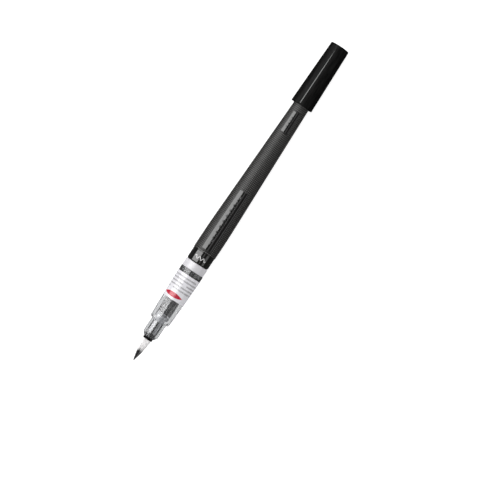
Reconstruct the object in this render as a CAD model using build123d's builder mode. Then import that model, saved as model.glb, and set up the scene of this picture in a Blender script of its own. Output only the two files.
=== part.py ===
from build123d import *
import os

# A squeeze-barrel brush pen, lying along X with its cap pushed on the tail.
# A station is a distance in millimetres along the pen, from the brush's point
# towards the cap. Every other size is a radius, width, height or depth.

# --- Overall ---------------------------------------------------------------
PEN_LENGTH = 190.0
BARREL_RADIUS = 6.45
TIP_X = -PEN_LENGTH / 2
AXIS_Z = BARREL_RADIUS

# --- Fits ------------------------------------------------------------------
RUNNING = 0.05
SEATED = 0.02
EDGE_BREAK = 0.2

# --- Brush tuft and its holder ---------------------------------------------
TUFT_POINT_RADIUS = 0.12
TUFT_BELLY = (5.0, 1.32)
TUFT_RADIUS = 2.1
TUFT_BUTT = 15.6
HOLDER_FRONT = 12.6
HOLDER_RADIUS = 2.55
HOLDER_CONE = (14.4, 15.5)
COLLAR_RADIUS = 2.95
COLLAR_END = 16.3
HOLDER_PLUG_RADIUS = 1.75
HOLDER_PLUG_END = 20.0
LEG_COUNT = 4
LEG_WIDTH = 0.9
LEG_END = 22.9

# --- Ink feed --------------------------------------------------------------
WICK_FRONT = 13.6
WICK_RADIUS = 0.75
SLEEVE_RADIUS = 2.3
FLANGE = (23.0, 24.3)
FEED_BODY_RADIUS = 3.0
FEED_BODY_END = 26.9
FIN_FRONT = 25.2
FIN_HEIGHT = 0.45
FIN_WIDTH = 0.5
SPIGOT_FRONT = 27.9
SPIGOT_RADIUS = 2.0
SPIGOT_END = 28.9
FLOW_PLUG_FRONT = 25.0
FLOW_PLUG_RADIUS = 1.4

# --- Clear front section ---------------------------------------------------
NOZZLE_FRONT = 13.9
NOZZLE_MOUTH_RADIUS = 2.85
NOZZLE_CHAMFER_END = 15.7
NOZZLE_RADIUS = 4.15
NOZZLE_BORE_RADIUS = 3.05
SHOULDER = (23.2, 24.0)
GRIP_FRONT_RADIUS = 5.45
GRIP_MIDDLE = 36.5
GRIP_MIDDLE_RADIUS = 5.95
SECTION_END = 54.1
SECTION_END_RADIUS = 6.35
NECK_BORE_FRONT = 25.6
NECK_BORE_RADIUS = 3.95
THREAD_BORE_FRONT = 38.4
THREAD_BORE_RADIUS = 4.35
REAR_BORE_FRONT = 45.6
REAR_BORE_RADIUS = 4.65

# --- Screw thread between the section and the barrel's neck ----------------
PITCH = 1.5
THREAD_TURNS = 3
THREAD_FRONT = 39.2
NECK_CREST_RADIUS = 4.2
SECTION_CREST_RADIUS = 3.9
TOOTH_ROOT_WIDTH = 0.7
TOOTH_CREST_WIDTH = 0.36
TOOTH_SINK = 0.15

# --- Printed film and spacer ring ------------------------------------------
LABEL_END = 51.2
LABEL_THICKNESS = 0.1
RING_END = 58.5
RING_RADIUS = 6.2
RING_BORE_RADIUS = 4.6
RING_ROUND = 0.25

# --- Ink barrel ------------------------------------------------------------
NECK_FRONT = 28.2
NECK_RADIUS = 3.75
NECK_BASE = 46.5
NECK_BASE_RADIUS = 4.5
NECK_HOLE_RADIUS = 2.7
NECK_BASE_HOLE_RADIUS = 3.6
BAND_RADIUS = 6.1
BAND_END = 64.9
BAND_ROUND = 0.8
BODY_FRONT = 65.2
BODY_FRONT_RADIUS = 6.38
BODY_WIDEST = 72.0
BODY_TAPER = 93.2
BODY_TAPER_RADIUS = 6.05
BODY_SLOPE = -0.0262
TAIL_STEP = 162.0
TAIL_RADIUS = 4.15
TAIL_END = 166.5
TAIL_ROUND = 1.0
WALL = 0.9
STOPPER = (29.2, 31.5)
STOPPER_POCKET_RADIUS = 1.9
STOPPER_FACE = 0.8
INK_END = 152.0

# --- Smooth panels let into the barrel's rough skin ------------------------
PANELS = ((67.4, 101.7), (138.1, 149.7))
PANEL_ARC = 54.0
PANEL_DEPTH = 0.15

# --- Cap -------------------------------------------------------------------
CAP_MOUTH = 154.3
CAP_MOUTH_RADIUS = 6.0
CAP_MOUTH_BORE = 5.45
CAP_END_RADIUS = 5.12
CAP_END_ROUND = 0.5
LINER_FRONT = 162.3
LINER_FRONT_RADIUS = 4.95
LINER_LEDGE_RADIUS = 5.2
LINER_END = 188.5
LINER_END_RADIUS = 4.5
LINER_FLOOR = 1.0
LINER_SEAL_END = 170.0
LINER_SEAL_RADIUS = TAIL_RADIUS + RUNNING
LINER_FAR_BORE = 3.8
RIB_ANGLE = 13.0
RIB_WIDTH = 0.5
RIB_HEIGHT = 0.2
RIB_SETBACK = 0.6

PROFILE = Plane(origin=(TIP_X, 0, AXIS_Z), x_dir=(1, 0, 0), z_dir=(0, -1, 0))
PEN_AXIS = Axis((TIP_X, 0, AXIS_Z), (1, 0, 0))


def cross_plane(station):
    """A plane square to the pen, its local X up and its normal towards the cap."""
    return Plane(origin=(TIP_X + station, 0, AXIS_Z), x_dir=(0, 0, 1), z_dir=(1, 0, 0))


def section_radius(station):
    """Outer radius of the clear grip behind its middle."""
    share = (station - GRIP_MIDDLE) / (SECTION_END - GRIP_MIDDLE)
    return GRIP_MIDDLE_RADIUS + share * (SECTION_END_RADIUS - GRIP_MIDDLE_RADIUS)


def body_radius(station):
    """Outer radius of the barrel's straight taper."""
    return BODY_TAPER_RADIUS + BODY_SLOPE * (station - BODY_TAPER)


def cap_radius(station):
    """Outer radius of the cap."""
    share = (station - CAP_MOUTH) / (PEN_LENGTH - CAP_MOUTH)
    return CAP_MOUTH_RADIUS + share * (CAP_END_RADIUS - CAP_MOUTH_RADIUS)


def thread_helix(front, radius):
    """A right-handed helix round the pen's axis, starting above it."""
    return Helix(PITCH, PITCH * THREAD_TURNS, radius, center=(TIP_X + front, 0, AXIS_Z), direction=(1, 0, 0))


def tooth_plane(helix):
    """The plane square to a thread helix at its start, its local X away from the pen's axis."""
    return Plane(origin=helix @ 0, x_dir=(0, 0, 1), z_dir=helix % 0)


def tooth_corners(root, crest):
    """Corners of a thread tooth, from inside the wall that it grows on to its crest."""
    return [
        (root, -TOOTH_ROOT_WIDTH / 2),
        (crest, -TOOTH_CREST_WIDTH / 2),
        (crest, TOOTH_CREST_WIDTH / 2),
        (root, TOOTH_ROOT_WIDTH / 2),
    ]


def make_brush_tuft():
    """Tapered bristle bundle, with a hole in its butt for the wick."""
    with BuildPart() as brush_tuft:
        with BuildSketch(PROFILE):
            with BuildLine():
                point = Line((0, 0), (0, TUFT_POINT_RADIUS))
                flank = Spline(point @ 1, TUFT_BELLY, (HOLDER_FRONT, TUFT_RADIUS), tangents=((0.7, 1), (1, 0.03)))
                butt = Polyline(
                    flank @ 1,
                    (TUFT_BUTT, TUFT_RADIUS),
                    (TUFT_BUTT, WICK_RADIUS + RUNNING),
                    (WICK_FRONT, WICK_RADIUS + RUNNING),
                    (WICK_FRONT, 0),
                )
                Line(butt @ 1, point @ 0)
            make_face()
        revolve(axis=PEN_AXIS)
    brush_tuft.part.label = "brush_tuft"
    export_step(brush_tuft.part, "parts/brush_tuft.step")


def make_brush_holder():
    """Black ferrule round the tuft, with legs that stand it inside the nozzle."""
    cone_front, cone_end = HOLDER_CONE
    leg_depth = COLLAR_RADIUS - SLEEVE_RADIUS - RUNNING
    with BuildPart() as brush_holder:
        with BuildSketch(PROFILE):
            with BuildLine():
                Polyline(
                    (HOLDER_FRONT, TUFT_RADIUS + SEATED),
                    (HOLDER_FRONT, HOLDER_RADIUS - EDGE_BREAK),
                    (HOLDER_FRONT + EDGE_BREAK, HOLDER_RADIUS),
                    (cone_front, HOLDER_RADIUS),
                    (cone_end, COLLAR_RADIUS),
                    (COLLAR_END, COLLAR_RADIUS),
                    (COLLAR_END, HOLDER_PLUG_RADIUS),
                    (HOLDER_PLUG_END, HOLDER_PLUG_RADIUS),
                    (HOLDER_PLUG_END, WICK_RADIUS + RUNNING),
                    (TUFT_BUTT + SEATED, WICK_RADIUS + RUNNING),
                    (TUFT_BUTT + SEATED, TUFT_RADIUS + SEATED),
                    close=True,
                )
            make_face()
        revolve(axis=PEN_AXIS)
        with BuildSketch(cross_plane(COLLAR_END)):
            with PolarLocations(COLLAR_RADIUS - leg_depth / 2, LEG_COUNT):
                Rectangle(leg_depth, LEG_WIDTH)
        extrude(amount=LEG_END - COLLAR_END)
    brush_holder.part.label = "brush_holder"
    export_step(brush_holder.part, "parts/brush_holder.step")


def make_ink_wick():
    """Fibre rod that carries ink from the flow plug into the tuft."""
    front = WICK_FRONT + SEATED
    with BuildPart() as ink_wick:
        with BuildSketch(cross_plane(front)):
            Circle(WICK_RADIUS)
        extrude(amount=FLOW_PLUG_FRONT - SEATED - front)
        chamfer(ink_wick.faces().sort_by(Axis.X)[0].edges(), EDGE_BREAK)
    ink_wick.part.label = "ink_wick"
    export_step(ink_wick.part, "parts/ink_wick.step")


def make_feed_tube():
    """Grey tube round the wick, with a flange behind the nozzle and a spigot for the neck."""
    flange_front, flange_end = FLANGE
    sleeve_front = COLLAR_END + SEATED
    plug_end = HOLDER_PLUG_END + SEATED
    with BuildPart() as feed_tube:
        with BuildSketch(PROFILE):
            with BuildLine():
                Polyline(
                    (sleeve_front, HOLDER_PLUG_RADIUS + SEATED),
                    (sleeve_front, SLEEVE_RADIUS),
                    (flange_front, SLEEVE_RADIUS),
                    (flange_front, NOZZLE_BORE_RADIUS - SEATED),
                    (flange_end, NOZZLE_BORE_RADIUS - SEATED),
                    (flange_end, FEED_BODY_RADIUS),
                    (FEED_BODY_END, FEED_BODY_RADIUS),
                    (SPIGOT_FRONT, SPIGOT_RADIUS),
                    (SPIGOT_END - EDGE_BREAK, SPIGOT_RADIUS),
                    (SPIGOT_END, SPIGOT_RADIUS - EDGE_BREAK),
                    (SPIGOT_END, FLOW_PLUG_RADIUS + SEATED),
                    (FLOW_PLUG_FRONT, FLOW_PLUG_RADIUS + SEATED),
                    (FLOW_PLUG_FRONT, WICK_RADIUS + RUNNING),
                    (plug_end, WICK_RADIUS + RUNNING),
                    (plug_end, HOLDER_PLUG_RADIUS + SEATED),
                    close=True,
                )
            make_face()
        revolve(axis=PEN_AXIS)
        with BuildSketch(cross_plane(FIN_FRONT)):
            with PolarLocations(FEED_BODY_RADIUS, LEG_COUNT):
                Rectangle(2 * FIN_HEIGHT, FIN_WIDTH)
        extrude(amount=FEED_BODY_END - FIN_FRONT)
    feed_tube.part.label = "feed_tube"
    export_step(feed_tube.part, "parts/feed_tube.step")


def make_flow_plug():
    """Porous plug that meters the ink squeezed out of the barrel."""
    with BuildPart() as flow_plug:
        with BuildSketch(cross_plane(FLOW_PLUG_FRONT)):
            Circle(FLOW_PLUG_RADIUS)
        extrude(amount=SPIGOT_END - FLOW_PLUG_FRONT - RUNNING)
        chamfer(flow_plug.faces().sort_by(Axis.X)[-1].edges(), EDGE_BREAK)
    flow_plug.part.label = "flow_plug"
    export_step(flow_plug.part, "parts/flow_plug.step")


def make_front_section():
    """Clear nozzle and grip in one moulding, with a thread inside for the barrel's neck."""
    cone_front, cone_end = HOLDER_CONE
    shoulder_front, shoulder_end = SHOULDER
    with BuildPart() as front_section:
        with BuildSketch(PROFILE):
            with BuildLine():
                Polyline(
                    (NOZZLE_FRONT, HOLDER_RADIUS + RUNNING),
                    (NOZZLE_FRONT, NOZZLE_MOUTH_RADIUS),
                    (NOZZLE_CHAMFER_END, NOZZLE_RADIUS),
                    (shoulder_front, NOZZLE_RADIUS),
                    (shoulder_end, GRIP_FRONT_RADIUS),
                    (GRIP_MIDDLE, GRIP_MIDDLE_RADIUS),
                    (SECTION_END, SECTION_END_RADIUS),
                    (SECTION_END, REAR_BORE_RADIUS),
                    (REAR_BORE_FRONT, REAR_BORE_RADIUS),
                    (REAR_BORE_FRONT, THREAD_BORE_RADIUS),
                    (THREAD_BORE_FRONT, THREAD_BORE_RADIUS),
                    (THREAD_BORE_FRONT, NECK_BORE_RADIUS),
                    (NECK_BORE_FRONT, NECK_BORE_RADIUS),
                    (FLANGE[1], NOZZLE_BORE_RADIUS),
                    (cone_end, NOZZLE_BORE_RADIUS),
                    (cone_front, HOLDER_RADIUS + RUNNING),
                    close=True,
                )
            make_face()
        revolve(axis=PEN_AXIS)
        with BuildLine():
            helix = thread_helix(THREAD_FRONT + PITCH / 2, THREAD_BORE_RADIUS)
        with BuildSketch(tooth_plane(helix)):
            with BuildLine():
                Polyline(*tooth_corners(TOOTH_SINK, SECTION_CREST_RADIUS - THREAD_BORE_RADIUS), close=True)
            make_face()
        sweep(path=helix, is_frenet=True)
    front_section.part.label = "front_section"
    export_step(front_section.part, "parts/front_section.step")


def make_grip_label():
    """Printed film wrapped round the clear grip."""
    front = GRIP_MIDDLE + SEATED
    with BuildPart() as grip_label:
        with BuildSketch(PROFILE):
            with BuildLine():
                Polyline(
                    (front, section_radius(front) + SEATED),
                    (LABEL_END, section_radius(LABEL_END) + SEATED),
                    (LABEL_END, section_radius(LABEL_END) + LABEL_THICKNESS),
                    (front, section_radius(front) + LABEL_THICKNESS),
                    close=True,
                )
            make_face()
        revolve(axis=PEN_AXIS)
    grip_label.part.label = "grip_label"
    export_step(grip_label.part, "parts/grip_label.step")


def make_spacer_ring():
    """White ring that keeps the section from being screwed fully home."""
    with BuildPart() as spacer_ring:
        with BuildSketch(cross_plane(SECTION_END + RUNNING)):
            Circle(RING_RADIUS)
            Circle(RING_BORE_RADIUS, mode=Mode.SUBTRACT)
        extrude(amount=RING_END - SECTION_END - 2 * RUNNING)
        fillet(spacer_ring.faces().filter_by(GeomType.CYLINDER).sort_by(SortBy.AREA)[-1].edges(), RING_ROUND)
    spacer_ring.part.label = "spacer_ring"
    export_step(spacer_ring.part, "parts/spacer_ring.step")


def draw_body_line(inset):
    """The barrel's long outer line, from behind the band to the tail step, moved inwards."""
    widest = (BODY_WIDEST, BARREL_RADIUS - inset)
    bend = BODY_TAPER + (BARREL_RADIUS - BODY_TAPER_RADIUS) / BODY_SLOPE
    swell = Bezier((BODY_FRONT, BODY_FRONT_RADIUS - inset), (BODY_WIDEST - 4, BARREL_RADIUS - inset), widest)
    Bezier(widest, (bend, BARREL_RADIUS - inset), (BODY_TAPER, BODY_TAPER_RADIUS - inset))
    taper = Line((BODY_TAPER, BODY_TAPER_RADIUS - inset), (TAIL_STEP, body_radius(TAIL_STEP) - inset))
    return swell @ 0, taper @ 1


def make_ink_barrel():
    """Squeeze bottle with a long threaded neck, a smooth front band and a tail that carries the cap."""
    neck_foot = NECK_BASE - (NECK_BASE_RADIUS - NECK_RADIUS)
    with BuildPart() as panel_cutter:
        for panel_front, panel_end in PANELS:
            with BuildSketch(PROFILE.rotated((-PANEL_ARC / 2, 0, 0))):
                with BuildLine():
                    Polyline(
                        (panel_front, NECK_RADIUS),
                        (panel_end, NECK_RADIUS),
                        (panel_end, BARREL_RADIUS + WALL),
                        (panel_front, BARREL_RADIUS + WALL),
                        close=True,
                    )
                make_face()
            revolve(axis=PEN_AXIS, revolution_arc=PANEL_ARC)
        with BuildSketch(PROFILE):
            with BuildLine():
                body_start, body_end = draw_body_line(PANEL_DEPTH)
                Polyline(body_end, (TAIL_STEP, 0), (BODY_FRONT, 0), body_start)
            make_face()
        revolve(axis=PEN_AXIS, mode=Mode.SUBTRACT)
    with BuildPart() as ink_barrel:
        with BuildSketch(PROFILE):
            with BuildLine():
                Polyline(
                    (NECK_FRONT, 0),
                    (NECK_FRONT, NECK_RADIUS - EDGE_BREAK),
                    (NECK_FRONT + EDGE_BREAK, NECK_RADIUS),
                    (neck_foot, NECK_RADIUS),
                    (NECK_BASE, NECK_BASE_RADIUS),
                    (RING_END, NECK_BASE_RADIUS),
                    (RING_END, BAND_RADIUS - BAND_ROUND),
                )
                RadiusArc((RING_END, BAND_RADIUS - BAND_ROUND), (RING_END + BAND_ROUND, BAND_RADIUS), BAND_ROUND)
                body_start, body_end = draw_body_line(0)
                Polyline((RING_END + BAND_ROUND, BAND_RADIUS), (BAND_END, BAND_RADIUS), body_start)
                Polyline(body_end, (TAIL_STEP, TAIL_RADIUS), (TAIL_END - TAIL_ROUND, TAIL_RADIUS))
                RadiusArc((TAIL_END - TAIL_ROUND, TAIL_RADIUS), (TAIL_END, TAIL_RADIUS - TAIL_ROUND), TAIL_ROUND)
                Polyline((TAIL_END, TAIL_RADIUS - TAIL_ROUND), (TAIL_END, 0), (NECK_FRONT, 0))
            make_face()
        revolve(axis=PEN_AXIS)
        add(panel_cutter.part, mode=Mode.SUBTRACT)
        with BuildSketch(PROFILE):
            with BuildLine():
                body_start, body_end = draw_body_line(WALL)
                Polyline(
                    body_start,
                    (BAND_END - 2 * WALL, BAND_RADIUS - WALL),
                    (RING_END + 2 * WALL, BAND_RADIUS - WALL),
                    (RING_END - WALL, NECK_BASE_HOLE_RADIUS),
                    (NECK_BASE + 2 * WALL, NECK_BASE_HOLE_RADIUS),
                    (NECK_BASE + WALL, NECK_HOLE_RADIUS),
                    (NECK_FRONT, NECK_HOLE_RADIUS),
                    (NECK_FRONT, 0),
                    (TAIL_END - 2 * WALL, 0),
                    (TAIL_END - 2 * WALL, TAIL_RADIUS - WALL - TAIL_ROUND),
                    (TAIL_END - 2 * WALL - TAIL_ROUND, TAIL_RADIUS - WALL),
                    body_end,
                )
            make_face()
        revolve(axis=PEN_AXIS, mode=Mode.SUBTRACT)
        with BuildLine():
            helix = thread_helix(THREAD_FRONT, NECK_RADIUS)
        with BuildSketch(tooth_plane(helix)):
            with BuildLine():
                Polyline(*tooth_corners(-TOOTH_SINK, NECK_CREST_RADIUS - NECK_RADIUS), close=True)
            make_face()
        sweep(path=helix, is_frenet=True)
    ink_barrel.part.label = "ink_barrel"
    export_step(ink_barrel.part, "parts/ink_barrel.step")


def make_neck_stopper():
    """Cup-shaped stopper that seals the neck until the section is screwed home."""
    front, end = STOPPER
    with BuildPart() as neck_stopper:
        with BuildSketch(cross_plane(front)):
            Circle(NECK_HOLE_RADIUS - SEATED)
        extrude(amount=end - front)
        with BuildSketch(cross_plane(front + STOPPER_FACE)):
            Circle(STOPPER_POCKET_RADIUS)
        extrude(amount=end - front - STOPPER_FACE, mode=Mode.SUBTRACT)
    neck_stopper.part.label = "neck_stopper"
    export_step(neck_stopper.part, "parts/neck_stopper.step")


def make_ink_charge():
    """The ink that fills the barrel behind the stopper, up to a pocket of air at the tail."""
    front = STOPPER[1] + SEATED
    skin = WALL + SEATED
    with BuildPart() as ink_charge:
        with BuildSketch(PROFILE):
            with BuildLine():
                body_start, body_end = draw_body_line(skin)
                Polyline(
                    body_start,
                    (BAND_END - 2 * WALL, BAND_RADIUS - skin),
                    (RING_END + 2 * WALL, BAND_RADIUS - skin),
                    (RING_END - WALL, NECK_BASE_HOLE_RADIUS - SEATED),
                    (NECK_BASE + 2 * WALL, NECK_BASE_HOLE_RADIUS - SEATED),
                    (NECK_BASE + WALL, NECK_HOLE_RADIUS - SEATED),
                    (front, NECK_HOLE_RADIUS - SEATED),
                    (front, 0),
                    (TAIL_STEP, 0),
                    body_end,
                )
            make_face()
        revolve(axis=PEN_AXIS)
        split(bisect_by=Plane(origin=(TIP_X + INK_END, 0, AXIS_Z), z_dir=(-1, 0, 0)))
    ink_charge.part.label = "ink_charge"
    export_step(ink_charge.part, "parts/ink_charge.step")


def make_cap_shell():
    """Tapered outer cap with one slim rib along it."""
    rib_front = CAP_MOUTH + RIB_SETBACK
    rib_end = PEN_LENGTH - RIB_SETBACK - CAP_END_ROUND
    with BuildPart() as cap_shell:
        with BuildSketch(PROFILE):
            with BuildLine():
                Polyline(
                    (CAP_MOUTH, CAP_MOUTH_BORE + EDGE_BREAK),
                    (CAP_MOUTH, CAP_MOUTH_RADIUS - EDGE_BREAK / 2),
                    (CAP_MOUTH + EDGE_BREAK / 2, CAP_MOUTH_RADIUS),
                    (PEN_LENGTH - CAP_END_ROUND, cap_radius(PEN_LENGTH - CAP_END_ROUND)),
                    (PEN_LENGTH, CAP_END_RADIUS - CAP_END_ROUND),
                    (PEN_LENGTH, 0),
                    (LINER_END, 0),
                    (LINER_END, LINER_END_RADIUS),
                    (LINER_FRONT, LINER_FRONT_RADIUS),
                    (LINER_FRONT, LINER_LEDGE_RADIUS),
                    (CAP_MOUTH + EDGE_BREAK, CAP_MOUTH_BORE),
                    close=True,
                )
            make_face()
        revolve(axis=PEN_AXIS)
        with BuildSketch(PROFILE.rotated((-RIB_ANGLE, 0, 0))):
            with BuildLine():
                Polyline(
                    (rib_front, cap_radius(rib_front) - RIB_HEIGHT),
                    (rib_front, cap_radius(rib_front)),
                    (rib_front + RIB_HEIGHT, cap_radius(rib_front) + RIB_HEIGHT),
                    (rib_end - RIB_HEIGHT, cap_radius(rib_end) + RIB_HEIGHT),
                    (rib_end, cap_radius(rib_end)),
                    (rib_end, cap_radius(rib_end) - RIB_HEIGHT),
                    close=True,
                )
            make_face()
        extrude(amount=RIB_WIDTH / 2, both=True)
    cap_shell.part.label = "cap_shell"
    export_step(cap_shell.part, "parts/cap_shell.step")


def make_cap_liner():
    """Inner cap that seals on the nozzle in use and grips the barrel's tail here."""
    floor = LINER_END - SEATED - LINER_FLOOR
    with BuildPart() as cap_liner:
        with BuildSketch(PROFILE):
            with BuildLine():
                Polyline(
                    (LINER_FRONT + SEATED, LINER_SEAL_RADIUS + EDGE_BREAK),
                    (LINER_FRONT + SEATED, LINER_FRONT_RADIUS - SEATED),
                    (LINER_END - SEATED, LINER_END_RADIUS - SEATED),
                    (LINER_END - SEATED, 0),
                    (floor, 0),
                    (floor, LINER_FAR_BORE),
                    (LINER_SEAL_END, LINER_SEAL_RADIUS),
                    (LINER_FRONT + SEATED + EDGE_BREAK, LINER_SEAL_RADIUS),
                    close=True,
                )
            make_face()
        revolve(axis=PEN_AXIS)
    cap_liner.part.label = "cap_liner"
    export_step(cap_liner.part, "parts/cap_liner.step")


def main():
    os.makedirs("parts", exist_ok=True)
    make_brush_tuft()
    make_brush_holder()
    make_ink_wick()
    make_feed_tube()
    make_flow_plug()
    make_front_section()
    make_grip_label()
    make_spacer_ring()
    make_ink_barrel()
    make_neck_stopper()
    make_ink_charge()
    make_cap_shell()
    make_cap_liner()


main()
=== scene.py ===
"""Visual model of a squeeze-barrel brush pen, lying flat with its cap pushed on the tail."""

import logging
import math
import random
from collections.abc import Callable, Sequence
from dataclasses import dataclass
from enum import Enum

import bpy
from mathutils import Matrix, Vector


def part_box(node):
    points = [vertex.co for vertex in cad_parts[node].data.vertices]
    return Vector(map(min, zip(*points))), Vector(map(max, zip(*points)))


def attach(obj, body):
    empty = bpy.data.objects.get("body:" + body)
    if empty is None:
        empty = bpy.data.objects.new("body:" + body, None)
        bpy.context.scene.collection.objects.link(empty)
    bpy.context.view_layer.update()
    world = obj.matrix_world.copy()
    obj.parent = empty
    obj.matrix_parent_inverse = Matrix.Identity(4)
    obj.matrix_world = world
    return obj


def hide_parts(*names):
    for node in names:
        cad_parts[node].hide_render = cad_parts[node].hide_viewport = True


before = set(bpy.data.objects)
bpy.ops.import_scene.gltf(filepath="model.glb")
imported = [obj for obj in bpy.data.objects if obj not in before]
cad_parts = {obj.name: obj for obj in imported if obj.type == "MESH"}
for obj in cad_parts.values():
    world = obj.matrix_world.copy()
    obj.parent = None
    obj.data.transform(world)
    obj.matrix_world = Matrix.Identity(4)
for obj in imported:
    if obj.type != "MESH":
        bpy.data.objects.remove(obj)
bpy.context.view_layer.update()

LOG = logging.getLogger("brush_pen")
MM = 0.001
MERGE_GAP = 1e-6
TIP_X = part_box("brush_tuft")[0].x / MM
AXIS_Z = sum(corner.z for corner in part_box("spacer_ring")) / 2 / MM
FULL_TURN = 2 * math.pi

Outline = list[tuple[float, float]]
Colour = tuple[float, float, float]
Socket = bpy.types.NodeSocket


# --- Places on the pen -----------------------------------------------------
def spot(station: float, radius: float = 0.0, angle: float = 0.0) -> Vector:
    """Turn a place on the pen into a place in the frame.

    Args:
        station: Distance along the pen from the brush point, in mm.
        radius: Distance from the pen's axis, in mm.
        angle: Angle round the axis from straight up, towards +Y, in radians.

    Returns:
        The place in metres.
    """
    across = radius * math.sin(angle)
    height = AXIS_Z + radius * math.cos(angle)
    return Vector((TIP_X + station, across, height)) * MM


def station_of(place: Vector) -> float:
    """Distance along the pen of a place, in mm."""
    return place.x / MM - TIP_X


def radius_of(place: Vector) -> float:
    """Distance from the pen's axis of a place, in mm."""
    return math.hypot(place.y / MM, place.z / MM - AXIS_Z)


def angle_of(place: Vector) -> float:
    """Angle round the axis of a place, from straight up towards +Y, in radians."""
    return math.atan2(place.y / MM, place.z / MM - AXIS_Z)


def arc(station: float, radius: float, size: float, start: float, end: float, steps: int = 5) -> Outline:
    """Points on a round corner of an outline.

    Args:
        station: Station of the corner's centre, in mm.
        radius: Distance of the corner's centre from the axis, in mm.
        size: Radius of the corner, in mm.
        start: First angle, from the direction of the cap towards outwards, in degrees.
        end: Last angle, in degrees.
        steps: Number of straight runs.

    Returns:
        The points, both ends among them.
    """
    turns = [math.radians(start + (end - start) * step / steps) for step in range(steps + 1)]
    return [(station + size * math.cos(turn), radius + size * math.sin(turn)) for turn in turns]


# --- Modelling -------------------------------------------------------------
class Pick(Enum):
    """What a selection takes."""

    POINTS = 0
    EDGES = 1
    FACES = 2


def clear_selection() -> None:
    """Leave edit mode and deselect everything."""
    if bpy.context.mode != "OBJECT":
        bpy.ops.object.mode_set(mode="OBJECT")
    bpy.ops.object.select_all(action="DESELECT")


def take(piece: bpy.types.Object) -> None:
    """Make a piece the only selected one, in object mode.

    Args:
        piece: The piece.
    """
    clear_selection()
    piece.select_set(True)
    bpy.context.view_layer.objects.active = piece


def pick(piece: bpy.types.Object, kind: Pick, test: Callable[[Vector, Vector], bool]) -> None:
    """Open a piece in edit mode with some of its points, edges or faces selected.

    Args:
        piece: The piece.
        kind: What to select.
        test: Says whether to select one, from its place and its normal; an edge gives its direction.
    """
    take(piece)
    mesh = piece.data
    for group in (mesh.vertices, mesh.edges, mesh.polygons):
        group.foreach_set("select", [False] * len(group))
    bpy.context.tool_settings.mesh_select_mode = [kind is other for other in Pick]
    if kind is Pick.POINTS:
        mesh.vertices.foreach_set("select", [test(point.co, point.normal) for point in mesh.vertices])
    elif kind is Pick.EDGES:
        ends = [[mesh.vertices[index].co for index in edge.vertices] for edge in mesh.edges]
        chosen = [test((one + other) / 2, (other - one).normalized()) for one, other in ends]
        mesh.edges.foreach_set("select", chosen)
    else:
        mesh.polygons.foreach_set("select", [test(face.center, face.normal) for face in mesh.polygons])
    bpy.ops.object.mode_set(mode="EDIT")


def apply_place(piece: bpy.types.Object) -> None:
    """Put a piece's place, turn and scale into its mesh."""
    take(piece)
    bpy.ops.object.transform_apply(location=True, rotation=True, scale=True)


def apply_modifier(piece: bpy.types.Object, kind: str, **settings: object) -> None:
    """Add a modifier and apply it.

    Args:
        piece: The piece.
        kind: Blender's name of the modifier.
        **settings: Values of the modifier's settings.
    """
    take(piece)
    modifier = piece.modifiers.new(kind.title(), kind)
    for name, value in settings.items():
        setattr(modifier, name, value)
    bpy.ops.object.modifier_apply(modifier=modifier.name)


def break_edges(piece: bpy.types.Object, width: float, angle: float = 32.0, segments: int = 2) -> None:
    """Round a piece's sharp edges.

    Args:
        piece: The piece.
        width: Width of the rounding, in mm.
        angle: Smallest angle that is rounded, in degrees.
        segments: Number of faces across the rounding.
    """
    limit = math.radians(angle)
    apply_modifier(
        piece, "BEVEL", width=width * MM, segments=segments, limit_method="ANGLE", angle_limit=limit,
        use_clamp_overlap=True, loop_slide=True,
    )


def smooth(piece: bpy.types.Object, angle: float = 35.0) -> None:
    """Shade a piece smooth, apart from edges sharper than an angle in degrees."""
    take(piece)
    bpy.ops.object.shade_smooth_by_angle(angle=math.radians(angle))


def close_up(piece: bpy.types.Object, gap: float = MERGE_GAP) -> None:
    """Merge a piece's doubled points and turn its faces outwards.

    Args:
        piece: The piece.
        gap: Largest distance between points that are merged, in metres.
    """
    pick(piece, Pick.POINTS, lambda place, normal: True)
    bpy.ops.mesh.remove_doubles(threshold=gap)
    bpy.ops.mesh.normals_make_consistent(inside=False)
    bpy.ops.object.mode_set(mode="OBJECT")


def run_to(station: float, radius: float, target: tuple[float, float]) -> None:
    """Extrude the selected ring to the next point of an outline.

    Args:
        station: Station of the selected ring, in mm.
        radius: Radius of the selected ring, in mm.
        target: Station and radius of the new ring, in mm.
    """
    ahead = ((target[0] - station) * MM, 0.0, 0.0)
    bpy.ops.mesh.extrude_edges_move(TRANSFORM_OT_translate={"value": ahead})
    share = target[1] / radius
    bpy.ops.transform.resize(value=(1.0, share, share), center_override=spot(target[0]))


def lathe(name: str, outline: Outline, segments: int) -> bpy.types.Object:
    """Turn an outline round the pen's axis.

    Args:
        name: Name of the piece.
        outline: Stations and radii in mm. It closes on its first point, or ends on the axis.
        segments: Number of faces round the axis.

    Returns:
        The closed piece.
    """
    clear_selection()
    starts_on_axis = outline[0][1] == 0.0
    station, radius = outline[1] if starts_on_axis else outline[0]
    rest = outline[2:] if starts_on_axis else outline[1:]
    first = (station, radius)
    bpy.ops.mesh.primitive_circle_add(
        vertices=segments, radius=radius * MM, location=spot(station), rotation=(0.0, math.pi / 2, 0.0)
    )
    piece = bpy.context.active_object
    piece.name = name
    piece.data.name = name
    apply_place(piece)
    pick(piece, Pick.EDGES, lambda place, way: True)
    for target in rest:
        run_to(station, radius, target)
        station, radius = target
    if starts_on_axis:
        pick(piece, Pick.EDGES, lambda place, way: is_on_ring(place, first) and abs(way.x) < 0.5)
        run_to(*first, outline[0])
    close_up(piece)
    return piece


def is_on_ring(place: Vector, ring: tuple[float, float]) -> bool:
    """Whether a place is on the ring at a station and radius in mm, or on a chord of it."""
    return abs(station_of(place) - ring[0]) < 1e-3 and abs(radius_of(place) - ring[1]) < 0.02


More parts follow.
